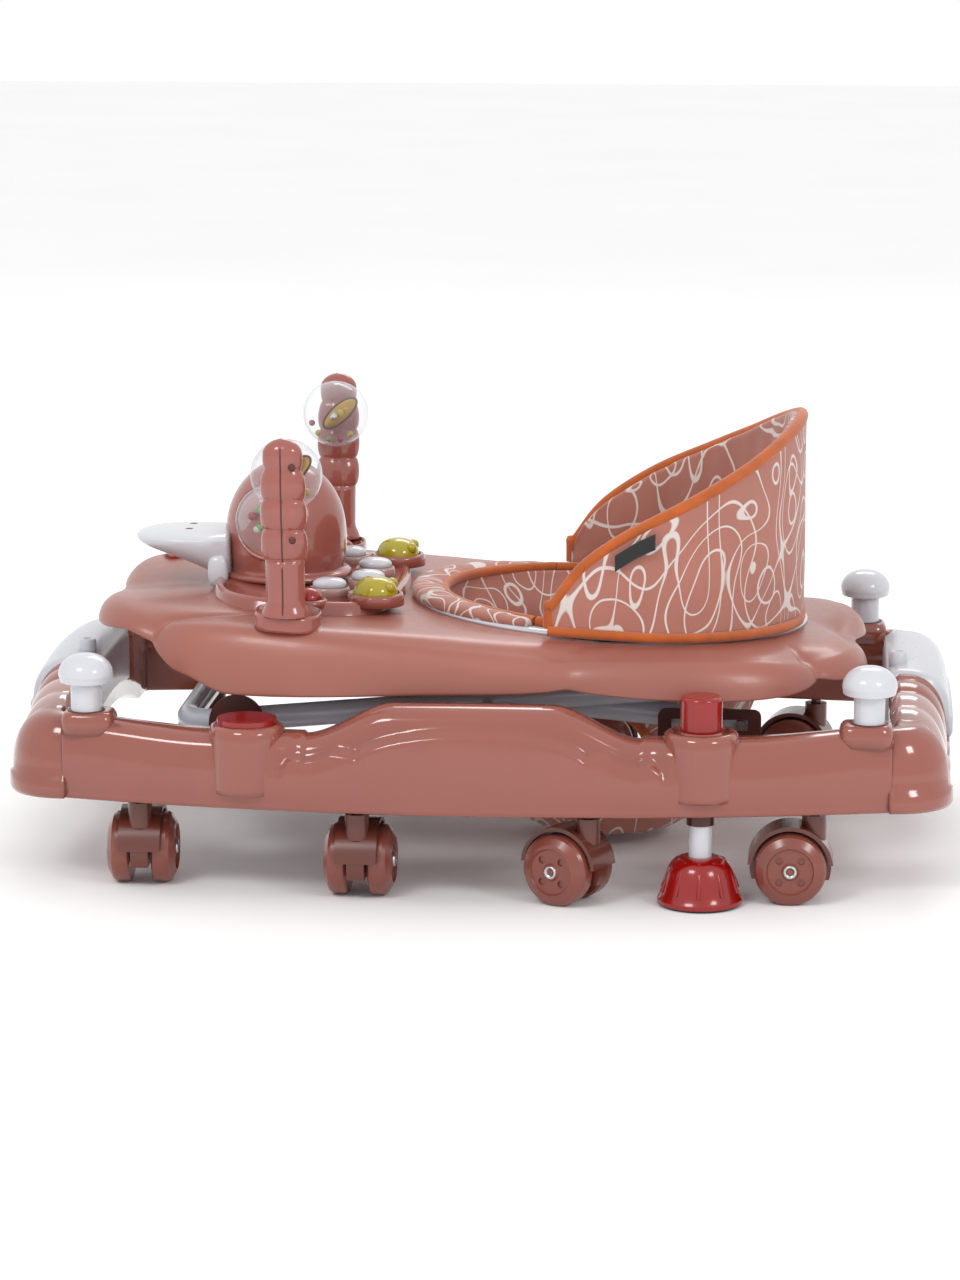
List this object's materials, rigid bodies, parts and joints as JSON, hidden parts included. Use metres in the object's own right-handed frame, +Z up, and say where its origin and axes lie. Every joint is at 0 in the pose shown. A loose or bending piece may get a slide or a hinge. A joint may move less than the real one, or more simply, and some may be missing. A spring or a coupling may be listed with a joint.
{
  "type": "baby walker",
  "caption": "Folding baby walker with a bowed castor base, scissor legs, lobed play tray with rattles and buttons, and a padded wrap-around seat.",
  "frame": {"origin": "middle of the footprint on the floor plane, below the centre of the base", "axes": "+Z up, +X towards the backrest, -X towards the toys, -Y the child's left-hand side"},
  "size_m": [0.705, 0.494, 0.3376],
  "materials": {
    "base_plastic": "glossy moulded",
    "tray_plastic": "satin moulded",
    "castor_plastic": "glossy moulded",
    "wheel_plastic": "glossy moulded",
    "bracket_plastic": "matte moulded",
    "white_plastic": "glossy moulded",
    "red_plastic": "glossy moulded",
    "dark_red_plastic": "glossy moulded",
    "yellow_plastic": "glossy moulded",
    "clear_plastic": "clear polished",
    "painted_tube": "powder coated",
    "steel_pins": "zinc plated",
    "seat_fabric": "printed woven"
  },
  "bodies": {
    "tray": {"backrest_pad": "seat_fabric", "button_sockets": "tray_plastic", "dome_shell": "tray_plastic", "duck_bill": "white_plastic", "red_buttons": "red_plastic", "seat_ring": "white_plastic", "seat_sling": "seat_fabric", "stalk_left": "tray_plastic", "stalk_right": "tray_plastic", "toy_panel": "tray_plastic", "tray_guides": "bracket_plastic", "tray_shell": "tray_plastic"},
    "caster_left_1_swivel": {"caster_left_1_fork": "castor_plastic"},
    "caster_left_1_wheels": {"caster_left_1_wheels": "wheel_plastic"},
    "caster_left_2_swivel": {"caster_left_2_fork": "castor_plastic"},
    "caster_left_2_wheels": {"caster_left_2_wheels": "wheel_plastic"},
    "caster_left_3_swivel": {"caster_left_3_fork": "castor_plastic"},
    "caster_left_3_wheels": {"caster_left_3_wheels": "wheel_plastic"},
    "caster_left_4_swivel": {"caster_left_4_fork": "castor_plastic"},
    "caster_left_4_wheels": {"caster_left_4_wheels": "wheel_plastic"},
    "caster_right_1_swivel": {"caster_right_1_fork": "castor_plastic"},
    "caster_right_1_wheels": {"caster_right_1_wheels": "wheel_plastic"},
    "caster_right_2_swivel": {"caster_right_2_fork": "castor_plastic"},
    "caster_right_2_wheels": {"caster_right_2_wheels": "wheel_plastic"},
    "caster_right_3_swivel": {"caster_right_3_fork": "castor_plastic"},
    "caster_right_3_wheels": {"caster_right_3_wheels": "wheel_plastic"},
    "caster_right_4_swivel": {"caster_right_4_fork": "castor_plastic"},
    "caster_right_4_wheels": {"caster_right_4_wheels": "wheel_plastic"},
    "base": {"front_bar": "base_plastic", "front_cover": "white_plastic", "leg_bracket_left": "bracket_plastic", "leg_bracket_right": "bracket_plastic", "rear_bar": "base_plastic", "rear_cover": "white_plastic", "side_rail_left": "base_plastic", "side_rail_right": "base_plastic", "socket_plugs": "red_plastic", "stopper_sleeves": "dark_red_plastic"},
    "front_knob_left": {"front_knob_left": "white_plastic"},
    "front_knob_right": {"front_knob_right": "white_plastic"},
    "inner_key_left": {"inner_key_left": "white_plastic"},
    "inner_key_right": {"inner_key_right": "white_plastic"},
    "leg_a": {"leg_a_fittings": "steel_pins", "leg_a_tube": "painted_tube"},
    "leg_b": {"leg_b_fittings": "steel_pins", "leg_b_tube": "painted_tube"},
    "outer_key_left": {"outer_key_left": "white_plastic"},
    "outer_key_right": {"outer_key_right": "white_plastic"},
    "rattle_ball_left": {"rattle_ball_left": "clear_plastic"},
    "rattle_ball_right": {"rattle_ball_right": "clear_plastic"},
    "rear_knob_left": {"rear_knob_left": "white_plastic"},
    "rear_knob_right": {"rear_knob_right": "white_plastic"},
    "stopper_left": {"stopper_cap_left": "red_plastic", "stopper_foot_left": "red_plastic", "stopper_rod_left": "white_plastic"},
    "stopper_right": {"stopper_cap_right": "red_plastic", "stopper_foot_right": "red_plastic", "stopper_rod_right": "white_plastic"},
    "yellow_button_left": {"yellow_button_left": "yellow_plastic"},
    "yellow_button_right": {"yellow_button_right": "yellow_plastic"}
  },
  "joints": [
    {"name": "leg_a_fold", "type": "hinge", "parent": "base", "child": "leg_a", "pos_m": [-0.182, 0, 0.118], "axis": [0, -1, 0], "range_deg": [0, 24]},
    {"name": "leg_b_cross", "type": "hinge", "parent": "leg_a", "child": "leg_b", "pos_m": [0.00623, 0, 0.135], "axis": [0, -1, 0], "range_deg": [-48, 0]},
    {"name": "tray_lift", "type": "hinge", "parent": "leg_b", "child": "tray", "pos_m": [-0.182, 0, 0.152], "axis": [0, -1, 0], "range_deg": [0, 24]},
    {"name": "caster_left_1_swivel", "type": "hinge", "parent": "base", "child": "caster_left_1_swivel", "pos_m": [-0.25, -0.197, 0.06], "axis": [0, 0, 1], "continuous": true},
    {"name": "caster_left_1_spin", "type": "hinge", "parent": "caster_left_1_swivel", "child": "caster_left_1_wheels", "pos_m": [-0.25059, -0.18001, 0.0265], "axis": [-0.9994, -0.0349, 0], "continuous": true},
    {"name": "caster_left_2_swivel", "type": "hinge", "parent": "base", "child": "caster_left_2_swivel", "pos_m": [-0.085, -0.222, 0.06], "axis": [0, 0, 1], "continuous": true},
    {"name": "caster_left_2_spin", "type": "hinge", "parent": "caster_left_2_swivel", "child": "caster_left_2_wheels", "pos_m": [-0.08441, -0.20501, 0.0265], "axis": [-0.9994, 0.0349, 0], "continuous": true},
    {"name": "caster_left_3_swivel", "type": "hinge", "parent": "base", "child": "caster_left_3_swivel", "pos_m": [0.085, -0.222, 0.06], "axis": [0, 0, 1], "continuous": true},
    {"name": "caster_left_3_spin", "type": "hinge", "parent": "caster_left_3_swivel", "child": "caster_left_3_wheels", "pos_m": [0.06999, -0.21402, 0.0265], "axis": [-0.4695, -0.8829, 0], "continuous": true},
    {"name": "caster_left_4_swivel", "type": "hinge", "parent": "base", "child": "caster_left_4_swivel", "pos_m": [0.25, -0.197, 0.06], "axis": [0, 0, 1], "continuous": true},
    {"name": "caster_left_4_spin", "type": "hinge", "parent": "caster_left_4_swivel", "child": "caster_left_4_wheels", "pos_m": [0.233, -0.197, 0.0265], "axis": [0, -1, 0], "continuous": true},
    {"name": "caster_right_1_swivel", "type": "hinge", "parent": "base", "child": "caster_right_1_swivel", "pos_m": [-0.25, 0.197, 0.06], "axis": [0, 0, 1], "continuous": true},
    {"name": "caster_right_1_spin", "type": "hinge", "parent": "caster_right_1_swivel", "child": "caster_right_1_wheels", "pos_m": [-0.25237, 0.18016, 0.0265], "axis": [0.9903, -0.1392, 0], "continuous": true},
    {"name": "caster_right_2_swivel", "type": "hinge", "parent": "base", "child": "caster_right_2_swivel", "pos_m": [-0.085, 0.222, 0.06], "axis": [0, 0, 1], "continuous": true},
    {"name": "caster_right_2_spin", "type": "hinge", "parent": "caster_right_2_swivel", "child": "caster_right_2_wheels", "pos_m": [-0.08205, 0.20526, 0.0265], "axis": [0.9848, 0.1736, 0], "continuous": true},
    {"name": "caster_right_3_swivel", "type": "hinge", "parent": "base", "child": "caster_right_3_swivel", "pos_m": [0.085, 0.222, 0.06], "axis": [0, 0, 1], "continuous": true},
    {"name": "caster_right_3_spin", "type": "hinge", "parent": "caster_right_3_swivel", "child": "caster_right_3_wheels", "pos_m": [0.06858, 0.2176, 0.0265], "axis": [0.2588, -0.9659, 0], "continuous": true},
    {"name": "caster_right_4_swivel", "type": "hinge", "parent": "base", "child": "caster_right_4_swivel", "pos_m": [0.25, 0.197, 0.06], "axis": [0, 0, 1], "continuous": true},
    {"name": "caster_right_4_spin", "type": "hinge", "parent": "caster_right_4_swivel", "child": "caster_right_4_wheels", "pos_m": [0.23326, 0.19995, 0.0265], "axis": [-0.1736, -0.9848, 0], "continuous": true},
    {"name": "front_knob_left_pull", "type": "slide", "parent": "base", "child": "front_knob_left", "axis": [0, 0, 1], "range_m": [0, 0.012]},
    {"name": "front_knob_right_pull", "type": "slide", "parent": "base", "child": "front_knob_right", "axis": [0, 0, 1], "range_m": [0, 0.012]},
    {"name": "rear_knob_left_pull", "type": "slide", "parent": "base", "child": "rear_knob_left", "axis": [0, 0, 1], "range_m": [0, 0.012]},
    {"name": "rear_knob_right_pull", "type": "slide", "parent": "base", "child": "rear_knob_right", "axis": [0, 0, 1], "range_m": [0, 0.012]},
    {"name": "stopper_left_lift", "type": "slide", "parent": "base", "child": "stopper_left", "axis": [0, 0, 1], "range_m": [0, 0.02]},
    {"name": "rattle_ball_left_spin", "type": "hinge", "parent": "tray", "child": "rattle_ball_left", "pos_m": [-0.143, -0.16, 0.306], "axis": [0, 1, 0], "continuous": true},
    {"name": "outer_key_left_press", "type": "slide", "parent": "tray", "child": "outer_key_left", "axis": [-0.0558, 0, -0.9984], "range_m": [0, 0.003], "stiffness_N_per_m": 300},
    {"name": "inner_key_left_press", "type": "slide", "parent": "tray", "child": "inner_key_left", "axis": [-0.0558, 0, -0.9984], "range_m": [0, 0.003], "stiffness_N_per_m": 300},
    {"name": "yellow_button_left_press", "type": "slide", "parent": "tray", "child": "yellow_button_left", "axis": [-0.0558, 0, -0.9984], "range_m": [0, 0.003], "stiffness_N_per_m": 400},
    {"name": "stopper_right_lift", "type": "slide", "parent": "base", "child": "stopper_right", "axis": [0, 0, 1], "range_m": [0, 0.02]},
    {"name": "rattle_ball_right_spin", "type": "hinge", "parent": "tray", "child": "rattle_ball_right", "pos_m": [-0.143, 0.16, 0.306], "axis": [0, 1, 0], "continuous": true},
    {"name": "outer_key_right_press", "type": "slide", "parent": "tray", "child": "outer_key_right", "axis": [-0.0558, 0, -0.9984], "range_m": [0, 0.003], "stiffness_N_per_m": 300},
    {"name": "inner_key_right_press", "type": "slide", "parent": "tray", "child": "inner_key_right", "axis": [-0.0558, 0, -0.9984], "range_m": [0, 0.003], "stiffness_N_per_m": 300},
    {"name": "yellow_button_right_press", "type": "slide", "parent": "tray", "child": "yellow_button_right", "axis": [-0.0558, 0, -0.9984], "range_m": [0, 0.003], "stiffness_N_per_m": 400}
  ],
  "couplings": [
    {"joint": "leg_b_cross", "follows": "leg_a_fold", "ratio": -2},
    {"joint": "tray_lift", "follows": "leg_a_fold", "ratio": 1}
  ]
}
